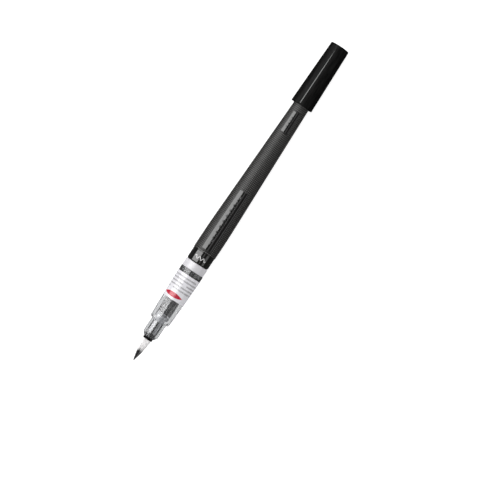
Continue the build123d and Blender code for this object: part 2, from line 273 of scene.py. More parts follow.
def join(pieces: Sequence[bpy.types.Object]) -> bpy.types.Object:
    """Join pieces into the first of them.

    Args:
        pieces: The pieces.

    Returns:
        The first piece, which holds them all.
    """
    take(pieces[0])
    for piece in pieces[1:]:
        piece.select_set(True)
    bpy.ops.object.join()
    return pieces[0]


def dress(piece: bpy.types.Object, material: bpy.types.Material) -> None:
    """Give a piece one material."""
    piece.data.materials.clear()
    piece.data.materials.append(material)


def hand_over(piece: bpy.types.Object, body: str, slot: str, *nodes: str) -> None:
    """Let a finished piece ride on a body and report it.

    Args:
        piece: The piece.
        body: Body that it moves with.
        slot: Material slot of the record that its finish belongs to; not used.
        *nodes: CAD nodes that it stands for.
    """
    clear_selection()
    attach(piece, body)
    if nodes:
        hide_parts(*nodes)
    mesh = piece.data
    LOG.info("%s: %d points, %d faces, on %s", piece.name, len(mesh.vertices), len(mesh.polygons), body)


def stroke(name: str, path: Sequence[Vector], thickness: float, sides: int = 3) -> bpy.types.Object:
    """A round bead along a smooth line.

    Args:
        name: Name of the piece.
        path: Control points in metres.
        thickness: Radius of the bead, in mm.
        sides: Fineness of the bead.

    Returns:
        The bead as a mesh.
    """
    clear_selection()
    bpy.ops.curve.primitive_nurbs_path_add(radius=1.0, location=(0.0, 0.0, 0.0))
    piece = bpy.context.active_object
    piece.name = name
    spline = piece.data.splines[0]
    spline.points.add(len(path) - len(spline.points))
    for point, place in zip(spline.points, path):
        point.co = (*place, 1.0)
        point.radius = 1.0
    spline.order_u = 3
    spline.use_endpoint_u = True
    spline.resolution_u = 4
    piece.data.bevel_depth = thickness * MM
    piece.data.bevel_resolution = sides
    piece.data.use_fill_caps = True
    bpy.ops.object.convert(target="MESH")
    piece = bpy.context.active_object
    piece.data.name = name
    close_up(piece, MERGE_GAP / 10)
    smooth(piece, 50.0)
    return piece


@dataclass
class Thread:
    """Right-handed screw thread of three turns, the same pitch on both parts."""

    pitch: float = 1.5
    turns: int = 3
    steps: int = 64
    root_width: float = 0.7
    crest_width: float = 0.36

    def build(self, name: str, front: float, root: float, crest: float) -> bpy.types.Object:
        """Wind one tooth round the pen.

        Args:
            name: Name of the piece.
            front: Station of the tooth's start, in mm.
            root: Radius where the tooth is sunk in its part, in mm.
            crest: Radius of the crest, in mm.

        Returns:
            The tooth as a closed mesh.
        """
        clear_selection()
        middle = (root + crest) / 2
        bpy.ops.mesh.primitive_plane_add(
            size=MM, location=spot(front, middle), rotation=(math.pi / 2, 0.0, 0.0)
        )
        piece = bpy.context.active_object
        piece.name = name
        piece.scale = (self.root_width, abs(crest - root), 1.0)
        apply_place(piece)
        pick(
            piece,
            Pick.POINTS,
            lambda place, normal: abs(radius_of(place) - crest) < abs(radius_of(place) - root),
        )
        narrow = self.crest_width / self.root_width
        bpy.ops.transform.resize(value=(narrow, 1.0, 1.0), center_override=spot(front, crest))
        clear_selection()
        bpy.context.scene.cursor.location = spot(front)
        take(piece)
        bpy.ops.object.origin_set(type="ORIGIN_CURSOR")
        apply_modifier(
            piece, "SCREW", axis="X", angle=FULL_TURN, screw_offset=self.pitch * MM, iterations=self.turns,
            steps=self.steps, render_steps=self.steps, use_smooth_shade=False,
        )
        apply_place(piece)
        bpy.context.scene.cursor.location = (0.0, 0.0, 0.0)
        pick(piece, Pick.EDGES, lambda place, way: True)
        bpy.ops.mesh.remove_doubles(threshold=MERGE_GAP)
        bpy.ops.mesh.fill_holes(sides=4)
        bpy.ops.mesh.normals_make_consistent(inside=False)
        bpy.ops.object.mode_set(mode="OBJECT")
        smooth(piece)
        return piece


# --- Shader building -------------------------------------------------------
class Board:
    """A node tree with short ways to place and wire its nodes."""

    def __init__(self, tree: bpy.types.NodeTree) -> None:
        """Keep the tree to work on."""
        self.tree = tree

    def node(self, kind: str, **settings: object) -> bpy.types.Node:
        """Place a node.

        Args:
            kind: Blender's name of the node without its ShaderNode start.
            **settings: Values of the node's settings.

        Returns:
            The node.
        """
        made = self.tree.nodes.new("ShaderNode" + kind)
        for name, value in settings.items():
            setattr(made, name, value)
        return made

    def feed(self, target: Socket, value: Socket | float | Sequence[float]) -> None:
        """Wire a socket to a target, or set the target's own value.

        Args:
            target: Input socket.
            value: Socket, number or numbers for it.
        """
        if isinstance(value, bpy.types.NodeSocket):
            self.tree.links.new(value, target)
        else:
            target.default_value = value

    def calc(self, operation: str, *values: Socket | float) -> Socket:
        """Result of a math node on some values.

        Args:
            operation: Blender's name of the operation.
            *values: Sockets or numbers, in order.

        Returns:
            The result.
        """
        made = self.node("Math", operation=operation)
        for target, value in zip(made.inputs, values):
            self.feed(target, value)
        return made.outputs[0]

    def span(self, value: Socket, low: float, high: float) -> Socket:
        """Map a value from a range to 0 to 1, clamped.

        Args:
            value: The value.
            low: Start of its range.
            high: End of its range.

        Returns:
            The mapped value.
        """
        made = self.node("MapRange")
        for target, number in zip(made.inputs, (value, low, high)):
            self.feed(target, number)
        return made.outputs[0]

    def blend(self, mask: Socket, first: Socket | Colour, second: Socket | Colour) -> Socket:
        """Mix two colours by a mask.

        Args:
            mask: 0 for the first colour, 1 for the second.
            first: First colour.
            second: Second colour.

        Returns:
            The mixed colour.
        """
        made = self.node("Mix", data_type="RGBA")
        self.feed(made.inputs["Factor"], mask)
        sockets = [socket for socket in made.inputs if socket.type == "RGBA"]
        for target, value in zip(sockets, (first, second)):
            self.feed(target, value if isinstance(value, bpy.types.NodeSocket) else (*value, 1.0))
        return next(socket for socket in made.outputs if socket.type == "RGBA")

    def group(self, tree: bpy.types.NodeTree, **values: Socket | float) -> bpy.types.Node:
        """Place a node group with its values.

        Args:
            tree: The group.
            **values: Values by socket name, with _ for a space.

        Returns:
            The group's node.
        """
        made = self.node("Group", node_tree=tree)
        for name, value in values.items():
            self.feed(made.inputs[name.replace("_", " ")], value)
        return made


def new_group(name: str, inputs: dict[str, float], outputs: dict[str, str]) -> tuple[Board, dict, dict]:
    """Start a shader node group.

    Args:
        name: Name of the group.
        inputs: Default values by socket name.
        outputs: Kinds of socket by name: Float, Color or Vector.

    Returns:
        The board, the inputs' sockets by name and the outputs' sockets by name.
    """
    tree = bpy.data.node_groups.new(name, "ShaderNodeTree")
    for socket, value in inputs.items():
        made = tree.interface.new_socket(name=socket, in_out="INPUT", socket_type="NodeSocketFloat")
        made.default_value = value
    for socket, kind in outputs.items():
        tree.interface.new_socket(name=socket, in_out="OUTPUT", socket_type="NodeSocket" + kind)
    source = tree.nodes.new("NodeGroupInput")
    target = tree.nodes.new("NodeGroupOutput")
    given = {socket: source.outputs[socket] for socket in inputs}
    results = {socket: target.inputs[socket] for socket in outputs}
    return Board(tree), given, results


def make_place_group() -> bpy.types.NodeTree:
    """Group that gives the station in mm and the angle round the axis in radians.

    Returns:
        The group, which also gives the distance from the axis in mm.
    """
    board, _, results = new_group("pen_place", {}, {"Station": "Float", "Angle": "Float", "Radius": "Float"})
    axes = board.node("SeparateXYZ")
    board.feed(axes.inputs[0], board.node("TexCoord").outputs["Object"])
    along = board.calc("SUBTRACT", board.calc("DIVIDE", axes.outputs[0], MM), TIP_X)
    across = board.calc("DIVIDE", axes.outputs[1], MM)
    up = board.calc("SUBTRACT", board.calc("DIVIDE", axes.outputs[2], MM), AXIS_Z)
    squares = board.calc("ADD", board.calc("MULTIPLY", across, across), board.calc("MULTIPLY", up, up))
    board.feed(results["Station"], along)
    board.feed(results["Angle"], board.calc("ARCTAN2", across, up))
    board.feed(results["Radius"], board.calc("SQRT", squares))
    return board.tree


def make_skin_group() -> bpy.types.NodeTree:
    """Group for a moulded skin: fine pimples, drifting gloss and the mask of both.

    Returns:
        The group.
    """
    inputs = {"Pimples per mm": 8.0, "Depth": 0.2, "Gloss Low": 0.25, "Gloss High": 0.4, "Stretch": 1.0}
    board, given, results = new_group(
        "moulded_skin", inputs, {"Roughness": "Float", "Normal": "Vector", "Drift": "Float", "Grain": "Float"}
    )
    place = board.node("TexCoord").outputs["Object"]
    squeeze = board.node("CombineXYZ")
    board.feed(squeeze.inputs[0], board.calc("DIVIDE", 1.0, given["Stretch"]))
    board.feed(squeeze.inputs[1], 1.0)
    board.feed(squeeze.inputs[2], 1.0)
    stretched = board.node("VectorMath", operation="MULTIPLY")
    board.feed(stretched.inputs[0], place)
    board.feed(stretched.inputs[1], squeeze.outputs[0])
    fine = board.node("TexNoise")
    board.feed(fine.inputs["Vector"], stretched.outputs[0])
    board.feed(fine.inputs["Scale"], board.calc("DIVIDE", given["Pimples per mm"], MM))
    board.feed(fine.inputs["Detail"], 2.0)
    broad = board.node("TexNoise")
    board.feed(broad.inputs["Vector"], place)
    board.feed(broad.inputs["Scale"], 140.0)
    board.feed(broad.inputs["Detail"], 4.0)
    drift = board.span(broad.outputs["Fac"], 0.35, 0.65)
    slow = board.calc("MULTIPLY", drift, 0.7)
    quick = board.calc("MULTIPLY", fine.outputs["Fac"], 0.3)
    both = board.calc("ADD", slow, quick)
    gap = board.calc("SUBTRACT", given["Gloss High"], given["Gloss Low"])
    bump = board.node("Bump")
    board.feed(bump.inputs["Strength"], given["Depth"])
    board.feed(bump.inputs["Distance"], 0.02 * MM)
    board.feed(bump.inputs["Height"], fine.outputs["Fac"])
    board.feed(results["Roughness"], board.calc("ADD", given["Gloss Low"], board.calc("MULTIPLY", both, gap)))
    board.feed(results["Normal"], bump.outputs[0])
    board.feed(results["Drift"], drift)
    board.feed(results["Grain"], board.span(fine.outputs["Fac"], 0.38, 0.62))
    return board.tree


def new_material(name: str) -> tuple[bpy.types.Material, Board, bpy.types.Node]:
    """Start a material.

    Args:
        name: Name of the material.

    Returns:
        The material, its board and its Principled shader.
    """
    material = bpy.data.materials.new(name)
    material.use_nodes = True
    board = Board(material.node_tree)
    board.tree.nodes.clear()
    shader = board.node("BsdfPrincipled")
    output = board.node("OutputMaterial")
    board.feed(output.inputs["Surface"], shader.outputs[0])
    return material, board, shader


@dataclass
class Effects:
    """The node groups that the finishes share."""

    place: bpy.types.NodeTree
    skin: bpy.types.NodeTree


class Pattern(Enum):
    """Which mask mixes a finish's two colours: one of the skin's, or the mesh's own dot attribute, which puts
    a painted highlight on the dot tops.
    """

    DRIFT = "Drift"
    GRAIN = "Grain"
    # Dot tops take the second colour as a painted highlight on each dot.
    DOT = "dot"


@dataclass(frozen=True)
class Moulded:
    """An opaque moulded plastic or rubber."""

    name: str
    colour: Colour
    # Second colour: random tone drift and grain for most finishes, and a painted highlight on the dot tops
    # for the dotted skin.
    drift_and_sheen_colour: Colour
    gloss: tuple[float, float] = (0.2, 0.32)
    depth: float = 0.15
    pimples: float = 8.0
    stretch: float = 1.0
    specular: float = 0.5
    coat: float = 0.0
    subsurface: float = 0.0
    pattern: Pattern = Pattern.DRIFT

    def make(self, effects: Effects) -> bpy.types.Material:
        """Build the material from the shared skin.

        Args:
            effects: The shared node groups.

        Returns:
            The material.
        """
        material, board, shader = new_material(self.name)
        skin = board.group(
            effects.skin, Pimples_per_mm=self.pimples, Depth=self.depth, Gloss_Low=self.gloss[0],
            Gloss_High=self.gloss[1], Stretch=self.stretch,
        )
        if self.pattern is Pattern.DOT:
            mask = board.node("Attribute", attribute_name=self.pattern.value).outputs["Fac"]
        else:
            mask = skin.outputs[self.pattern.value]
        # With the dot pattern, this paints the second colour on the dot tops as a painted highlight.
        colour = board.blend(mask, self.colour, self.drift_and_sheen_colour)
        board.feed(shader.inputs["Base Color"], colour)
        board.feed(shader.inputs["Roughness"], skin.outputs["Roughness"])
        board.feed(shader.inputs["Normal"], skin.outputs["Normal"])
        shader.inputs["Specular IOR Level"].default_value = self.specular
        shader.inputs["Coat Weight"].default_value = self.coat
        shader.inputs["Subsurface Weight"].default_value = self.subsurface
        shader.inputs["Subsurface Radius"].default_value = (0.6 * MM, 0.6 * MM, 0.6 * MM)
        shader.inputs["Subsurface Scale"].default_value = 1.0
        return material


@dataclass(frozen=True)
class Clear:
    """A see-through moulded plastic that lets lamp light through."""

    name: str
    colour: Colour
    gloss: tuple[float, float] = (0.02, 0.08)
    index: float = 1.49
    specular: float = 0.3
    haze: float = 0.04
    shade: Colour = (0.9, 0.91, 0.92)

    def make(self, effects: Effects) -> bpy.types.Material:
        """Build the material from the shared skin.

        Args:
            effects: The shared node groups.

        Returns:
            The material.
        """
        material, board, shader = new_material(self.name)
        skin = board.group(
            effects.skin, Pimples_per_mm=3.0, Depth=0.05, Gloss_Low=self.gloss[0], Gloss_High=self.gloss[1]
        )
        board.feed(shader.inputs["Roughness"], skin.outputs["Roughness"])
        board.feed(shader.inputs["Normal"], skin.outputs["Normal"])
        shader.inputs["Base Color"].default_value = (*self.colour, 1.0)
        shader.inputs["IOR"].default_value = self.index
        shader.inputs["Transmission Weight"].default_value = 1.0 - self.haze
        shader.inputs["Specular IOR Level"].default_value = self.specular
        see_through = board.node("BsdfTransparent")
        see_through.inputs["Color"].default_value = (*self.shade, 1.0)
        swap = board.node("MixShader")
        board.feed(swap.inputs[0], board.node("LightPath").outputs["Is Shadow Ray"])
        board.feed(swap.inputs[1], shader.outputs[0])
        board.feed(swap.inputs[2], see_through.outputs[0])
        output = next(node for node in board.tree.nodes if node.type == "OUTPUT_MATERIAL")
        board.feed(output.inputs["Surface"], swap.outputs[0])
        return material


@dataclass(frozen=True)
class Bristle:
    """Pale synthetic hair, soaked in ink at the point with a streaky edge."""

    name: str = "bristle_hair"
    pale: Colour = (0.98, 0.97, 0.97)
    warm: Colour = (0.93, 0.91, 0.91)
    ink: Colour = (0.008, 0.008, 0.01)
    edge: float = 6.1
    streak: float = 0.9

    def make(self, effects: Effects) -> bpy.types.Material:
        """Build the material, which reads each hair's own value from the strand attribute.

        Args:
            effects: The shared node groups.

        Returns:
            The material.
        """
        material, board, shader = new_material(self.name)
        place = board.group(effects.place)
        strand = board.node("Attribute", attribute_name="strand").outputs["Fac"]
        noise = board.node("TexNoise")
        board.feed(noise.inputs["Vector"], board.node("TexCoord").outputs["Object"])
        board.feed(noise.inputs["Scale"], 900.0)
        wander = board.calc("ADD", strand, board.calc("MULTIPLY", noise.outputs["Fac"], 0.4))
        spread = board.calc("MULTIPLY", wander, 2 * self.streak)
        reach = board.calc("ADD", self.edge - 1.2 * self.streak, spread)
        dry = board.span(board.calc("SUBTRACT", place.outputs["Station"], reach), -0.7, 0.7)
        hair = board.blend(strand, self.pale, self.warm)
        board.feed(shader.inputs["Base Color"], board.blend(dry, self.ink, hair))
        board.feed(shader.inputs["Roughness"], board.calc("ADD", board.calc("MULTIPLY", dry, 0.2), 0.28))
        shader.inputs["Subsurface Weight"].default_value = 0.15
        shader.inputs["Subsurface Radius"].default_value = (0.4 * MM, 0.4 * MM, 0.4 * MM)
        shader.inputs["Subsurface Scale"].default_value = 1.0
        return material


@dataclass(frozen=True)
class PrintedFilm:
    """White film with a red stroke and rows of small grey print round it."""

    name: str = "printed_white_film"
    white: Colour = (0.84, 0.83, 0.87)
    red: Colour = (0.52, 0.005, 0.035)
    grey: Colour = (0.11, 0.11, 0.11)
    red_station: float = 39.0
    red_half_width: float = 1.3
    red_centre: float = 17.0
    red_half_arc: float = 56.0
    rows_front: float = 41.4
    rows_end: float = 50.3
    row_pitch: float = 1.78
    sign_pitch: float = 0.4
    word_share: float = 0.19
    radius: float = 6.2

    def red_mask(self, board: Board, station: Socket, angle: Socket) -> Socket:
        """Mask of the red stroke, full in the middle and pointed at both ends.

        Args:
            board: Board to build on.
            station: Station of the shaded point, in mm.
            angle: Angle of the shaded point, in radians.

        Returns:
            The mask.
        """
        centre = math.radians(self.red_centre)
        share = board.calc("DIVIDE", board.calc("SUBTRACT", angle, centre), math.radians(self.red_half_arc))
        swell = board.calc("SUBTRACT", 1.0, board.calc("MULTIPLY", share, share))
        off = board.calc("ABSOLUTE", board.calc("SUBTRACT", station, self.red_station))
        inside = board.calc("SUBTRACT", board.calc("MULTIPLY", swell, self.red_half_width), off)
        return board.span(inside, 0.0, 0.06)

    def row_mask(self, board: Board, station: Socket, angle: Socket) -> Socket:
        """Mask of the rows of print, as plain ticks in runs.

        Args:
            board: Board to build on.
            station: Station of the shaded point, in mm.
            angle: Angle of the shaded point, in radians.

        Returns:
            The mask.
        """
        row = board.calc("DIVIDE", board.calc("SUBTRACT", station, self.rows_front), self.row_pitch)
        along = board.calc("MULTIPLY", angle, self.radius / self.sign_pitch)
        in_row = board.calc("ABSOLUTE", board.calc("SUBTRACT", board.calc("FRACT", row), 0.5))
        in_sign = board.calc("ABSOLUTE", board.calc("SUBTRACT", board.calc("FRACT", along), 0.5))
        tick = self.cell_value(board, row, along, 1.0)
        word = self.cell_value(board, row, along, self.word_share)
        height = board.calc("ADD", board.calc("MULTIPLY", tick, 0.16), 0.19)
        width = board.calc("SUBTRACT", 0.38, board.calc("MULTIPLY", tick, 0.14))
        low = board.span(board.calc("SUBTRACT", height, in_row), 0.0, 0.05)
        thin = board.span(board.calc("SUBTRACT", width, in_sign), 0.0, 0.12)
        kept = board.calc("GREATER_THAN", word, 0.15)
        started = board.calc("GREATER_THAN", station, self.rows_front)
        ended = board.calc("LESS_THAN", station, self.rows_end)
        mask = low
        for factor in (thin, kept, started, ended):
            mask = board.calc("MULTIPLY", mask, factor)
        return mask

    def cell_value(self, board: Board, row: Socket, along: Socket, share: float) -> Socket:
        """Random value of one tick, or of a run of ticks.

        Args:
            board: Board to build on.
            row: Row number, with its fraction.
            along: Tick number along the row, with its fraction.
            share: 1 for every tick its own value, less for runs of ticks.

        Returns:
            The value, from 0 to 1.
        """
        cell = board.node("CombineXYZ")
        board.feed(cell.inputs[0], board.calc("FLOOR", row))
        board.feed(cell.inputs[1], board.calc("FLOOR", board.calc("MULTIPLY", along, share)))
        cell.inputs[2].default_value = 10.0 * share
        value = board.node("TexWhiteNoise")
        board.feed(value.inputs["Vector"], cell.outputs[0])
        return value.outputs["Value"]

    def make(self, effects: Effects) -> bpy.types.Material:
        """Build the material from the shared skin and place.

        Args:
            effects: The shared node groups.

        Returns:
            The material.
        """
        material, board, shader = new_material(self.name)
        place = board.group(effects.place)
        skin = board.group(effects.skin, Pimples_per_mm=4.0, Depth=0.05, Gloss_Low=0.2, Gloss_High=0.3)
        outer = board.calc("GREATER_THAN", place.outputs["Radius"], 5.0)
        station, angle = place.outputs["Station"], place.outputs["Angle"]
        grey = board.calc("MULTIPLY", self.row_mask(board, station, angle), outer)
        red = board.calc("MULTIPLY", self.red_mask(board, station, angle), outer)
        drift = tuple(0.97 * channel for channel in self.white)
        colour = board.blend(skin.outputs["Drift"], self.white, drift)
        colour = board.blend(grey, colour, self.grey)
        board.feed(shader.inputs["Base Color"], board.blend(red, colour, self.red))
        board.feed(shader.inputs["Roughness"], skin.outputs["Roughness"])
        board.feed(shader.inputs["Normal"], skin.outputs["Normal"])
        return material


class Finishes:
    """Every finish of the pen, made once."""

    def __init__(self) -> None:
        """Build the shared effects and the materials."""
        effects = Effects(make_place_group(), make_skin_group())
        black = (0.006, 0.0058, 0.0057)
        self.bristle = Bristle().make(effects)
        self.film = PrintedFilm().make(effects)
        self.clear = Clear("clear_styrene", (0.52, 0.525, 0.535), gloss=(0.1, 0.18)).make(effects)
        self.holder = Moulded(
            "ferrule_black", (0.003, 0.003, 0.004), (0.005, 0.005, 0.005), gloss=(0.3, 0.4), specular=0.02
        ).make(effects)
        self.barrel = Moulded(
            "barrel_black", black, (0.01, 0.0095, 0.009), gloss=(0.06, 0.13), depth=0.06
        ).make(effects)
        # Black skin whose dot tops are painted pale grey: a painted highlight on each dot.
        self.skin = Moulded(
            "barrel_dotted_black_painted_sheen", (0.007, 0.0067, 0.0064), (0.23, 0.224, 0.218), gloss=(0.38, 0.5),
            depth=0.5, pimples=6.0, stretch=1.0, specular=0.22, pattern=Pattern.DOT,
        ).make(effects)
        self.cap = Moulded(
            "cap_satin_black", (0.0005, 0.0005, 0.0005), (0.0085, 0.0083, 0.008), gloss=(0.42, 0.55),
            depth=1.0, pimples=3.0, stretch=24.0, specular=0.045, pattern=Pattern.GRAIN,
        ).make(effects)
        self.rib = Moulded(
            "cap_rib_polished", (0.005, 0.005, 0.005), (0.008, 0.008, 0.008), gloss=(0.16, 0.26),
            depth=0.2, pimples=5.0, stretch=12.0,
        ).make(effects)
        self.ring = Moulded(
            "white_ring", (0.73, 0.72, 0.75), (0.7, 0.69, 0.72), gloss=(0.25, 0.38), subsurface=0.1
        ).make(effects)
        self.natural = Moulded(
            "natural_moulding", (0.62, 0.62, 0.6), (0.55, 0.55, 0.53), gloss=(0.3, 0.45)
        ).make(effects)
        self.grey = Moulded(
            "grey_feed", (0.5, 0.5, 0.51), (0.42, 0.42, 0.43), gloss=(0.25, 0.4)
        ).make(effects)
        self.fibre = Moulded(
            "ink_fibre", (0.02, 0.02, 0.022), (0.05, 0.05, 0.05), gloss=(0.7, 0.9),
            depth=1.0, pimples=12.0, stretch=8.0, pattern=Pattern.GRAIN,
        ).make(effects)
        self.ink = Moulded(
            "black_ink", (0.004, 0.004, 0.005), (0.006, 0.006, 0.008), gloss=(0.03, 0.06)
        ).make(effects)
        self.white_print = Moulded(
            "white_print", (0.8, 0.8, 0.8), (0.7, 0.7, 0.7), gloss=(0.3, 0.4)
        ).make(effects)


# --- Sub-assemblies --------------------------------------------------------
@dataclass
class Barrel:
    """Squeeze bottle with a threaded neck, a smooth band and a dotted skin. Sizes are in mm."""

    segments: int = 120
    neck_front: float = 28.2
    neck_radius: float = 3.75
    neck_base: float = 46.5
    base_radius: float = 4.5
    band_front: float = 58.5
    band_end: float = 64.9
    band_radius: float = 6.1
    band_round: float = 0.8
    front_radius: float = 6.38
    widest: float = 72.0
    widest_radius: float = 6.45
    taper_start: float = 93.2
    taper_radius: float = 6.05
    slope: float = -0.0262
    tail_step: float = 162.0
    tail_radius: float = 4.15
    tail_end: float = 166.5
    tail_round: float = 1.0
    wall: float = 0.9
    grain_front: float = 65.4
    grain_bays: int = 48
    bay_length: float = 1.875
    cells_per_bay: int = 6
    cells_per_dot: int = 3
    dot_height: float = 0.15
    panels: tuple[tuple[float, float], ...] = ((67.0, 101.7), (138.1, 149.9))
    panel_half_arc: float = 24.5
    panel_margin: float = 0.4
    floor_radius: float = 2.2
    shoulder_bore: float = 3.6
    neck_bore: float = 2.7
    edge_round: float = 0.12
    skin_front: float = 65.15
    skin_rise: float = 0.3
    thread_front: float = 39.2
    thread_crest: float = 4.2
    thread_bite: float = 0.15
    ripple_ends: tuple[float, float] = (70.2, 99.0)
    ripple_waves: int = 9
    ripple_swing: float = 1.05
    ripple_sink: float = 0.21
    ripple_bead: float = 0.34
    pips: tuple[float, ...] = (141.2, 142.9, 144.6, 146.3)
    pip_half_width: float = 0.9
    pip_slant: float = 0.4
    pip_sink: float = 0.1
    pip_bead: float = 0.26
    wave_station: float = 61.7
    wave_swing: float = 0.85
    wave_half_arc: float = 31.0
    waves: int = 3
    wave_steps: int = 24
    wave_sink: float = 0.34
    wave_bead: float = 0.38

    def body_radius(self, station: float) -> float:
        """Radius of the outer line behind the band, in mm.

        Args:
            station: Station, in mm.

        Returns:
            The radius, in mm.
        """
        if station >= self.taper_start:
            return self.taper_radius + self.slope * (station - self.taper_start)
        if station <= self.widest:
            share = (self.widest - station) / (self.widest - self.band_end)
            return self.widest_radius - (self.widest_radius - self.front_radius) * share**2
        drop = self.widest_radius - self.taper_radius
        length = self.taper_start - self.widest
        share = (station - self.widest) / length
        steep = -self.slope * length
        return self.widest_radius - (3 * drop - steep) * share**2 - (steep - 2 * drop) * share**3

    def outline(self) -> Outline:
        """Inner wall from the tail to the neck's mouth, then the outside back to the tail.

        Returns:
            The outline, from the axis back to the axis.
        """
        floor = self.tail_end - 2 * self.wall
        inside = [self.tail_step, 130.0, self.taper_start, 85.0, 78.0, self.widest]
        points = [
            (floor, 0.0),
            (floor, self.floor_radius),
            (floor - self.tail_round, self.tail_radius - self.wall),
        ]
        points += [(station, self.body_radius(station) - self.wall) for station in inside]
        points += [
            (self.band_end - 2 * self.wall, self.band_radius - self.wall),
            (self.band_front + 2 * self.wall, self.band_radius - self.wall),
            (self.band_front - self.wall, self.shoulder_bore),
            (self.neck_base + 2 * self.wall, self.shoulder_bore),
            (self.neck_base + self.wall, self.neck_bore),
            (self.neck_front, self.neck_bore),
            (self.neck_front, self.neck_radius),
            (self.neck_base - (self.base_radius - self.neck_radius), self.neck_radius),
            (self.neck_base, self.base_radius),
            (self.band_front, self.base_radius),
        ]
        centre = (self.band_front + self.band_round, self.band_radius - self.band_round)
        points += arc(*centre, self.band_round, 180.0, 90.0)
        points += [
            (self.band_end, self.band_radius),
            (self.skin_front, self.body_radius(self.skin_front) - self.dot_height),
        ]
        for bay in range(self.grain_bays + 1):
            station = self.grain_front + bay * self.bay_length
            points.append((station, self.body_radius(station) - self.dot_height))
        seat = self.grain_front + self.grain_bays * self.bay_length + self.skin_rise
        points += [(seat, self.body_radius(seat)), (self.tail_step, self.body_radius(self.tail_step))]
        centre = (self.tail_end - self.tail_round, self.tail_radius - self.tail_round)
        points += [(self.tail_step, self.tail_radius), *arc(*centre, self.tail_round, 90.0, 0.0)]
        return [*points, (self.tail_end, 0.0)]

    def is_skin(self, place: Vector) -> bool:
        """Whether a place is on the dotted stretch of the outside.

        Args:
            place: The place.

        Returns:
            True on the dotted stretch, its panels among it.
        """
        grain_end = self.grain_front + self.grain_bays * self.bay_length
        station = station_of(place)
        if not self.grain_front - 0.01 < station < grain_end + 0.01:
            return False
        return radius_of(place) > self.body_radius(station) - self.wall / 2

    def in_panel(self, place: Vector, margin: float) -> bool:
        """Whether a place is in a smooth panel.

        Args:
            place: The place.
            margin: How far the panel is grown on every side, in mm.

        Returns:
            True in a panel.
        """
        station, angle = station_of(place), abs(angle_of(place))
        half_arc = math.radians(self.panel_half_arc)
        if angle * self.taper_radius > half_arc * self.taper_radius + margin:
            return False
        return any(
            front - margin + 0.01 < station < end + margin - 0.01
            for front, end in self.panels
        )

    def square_up(self, piece: bpy.types.Object) -> None:
        """Move the skin's points nearest the panels' ends onto the ends, so that they run true.

        Args:
            piece: The barrel.
        """
        reach = self.bay_length / (2 * self.cells_per_bay) + 1e-3
        limit = math.radians(self.panel_half_arc + 2.0)
        for point in piece.data.vertices:
            angle = angle_of(point.co)
            if abs(angle) > limit or not self.is_skin(point.co):
                continue
            station = station_of(point.co)
            for end in [end for panel in self.panels for end in panel]:
                if abs(station - end) < reach:
                    point.co = spot(end, radius_of(point.co), angle)

    def is_dot(self, place: Vector) -> bool:
        """Whether a point of the fine mesh is the top of a dot.

        Args:
            place: Place of the point.

        Returns:
            True at the top of a dot.
        """
        if not self.is_skin(place) or self.in_panel(place, self.panel_margin):
            return False
        step = self.bay_length / self.cells_per_bay
        along = round((station_of(place) - self.grain_front) / step)
        around = round(angle_of(place) / (FULL_TURN / self.segments))
        return along % self.cells_per_dot == 1 and around % self.cells_per_dot == 1

    def mark_dots(self, piece: bpy.types.Object) -> None:
        """Store on each point whether it is the top of a dot; the dotted finish paints a highlight on these
        tops.
        """
        tops = piece.data.attributes.new("dot", "FLOAT", "POINT")
        tops.data.foreach_set("value", [float(self.is_dot(point.co)) for point in piece.data.vertices])

    def shift_out(self, piece: bpy.types.Object, test: Callable[[Vector], bool], height: float) -> None:
        """Move some points of the skin away from the axis.

        Args:
            piece: The barrel.
            test: Says which points move.
            height: How far they move, in mm.
        """
        pick(piece, Pick.POINTS, lambda place, normal: test(place))
        share = 1.0 + height / self.taper_radius
        bpy.ops.transform.resize(value=(1.0, share, share), center_override=spot(self.taper_start))
        bpy.ops.object.mode_set(mode="OBJECT")

    def build(self, finishes: Finishes) -> None:
        """Model the barrel with its skin and hand it over.

        Args:
            finishes: The finishes.
        """
        piece = lathe("barrel_body", self.outline(), self.segments)
        break_edges(piece, self.edge_round)
        pick(piece, Pick.EDGES, lambda place, way: abs(way.x) > 0.9 and self.is_skin(place))
        bpy.ops.mesh.subdivide(number_cuts=self.cells_per_bay - 1)
        bpy.ops.object.mode_set(mode="OBJECT")
        self.square_up(piece)
        self.mark_dots(piece)
        self.shift_out(piece, self.is_dot, self.dot_height)
        smooth(piece, 12.0)
        root = self.neck_radius - self.thread_bite
        tooth = Thread().build("neck_thread", self.thread_front, root, self.thread_crest)
        piece = join([piece, tooth])
        dress(piece, finishes.barrel)
        piece.data.materials.append(finishes.skin)
        for face in piece.data.polygons:
            dotted = self.is_skin(face.center) and not self.in_panel(face.center, 0.0)
            face.material_index = int(dotted)
        hand_over(piece, "barrel", "barrel_plastic", "ink_barrel")
        self.build_marks(finishes)

    def ripple(self, front: float, end: float, waves: int, swing: float, sink: float) -> list[Vector]:
        """Control points of a wavy line along the top of the barrel.

        Args:
            front: First station, in mm.
            end: Last station, in mm.
            waves: Number of waves.
            swing: Largest distance to each side, in mm.
            sink: How deep the line lies under the outer line, in mm.

        Returns:
            The points in metres.
        """
        points = []
        steps = waves * 8
        for step in range(steps + 1):
            share = step / steps
            station = front + (end - front) * share
            fade = math.sqrt(math.sin(math.pi * share))
            offset = swing * fade * math.sin(FULL_TURN * waves * share)
            radius = self.body_radius(station) - sink
            points.append(spot(station, radius, offset / radius))
        return points

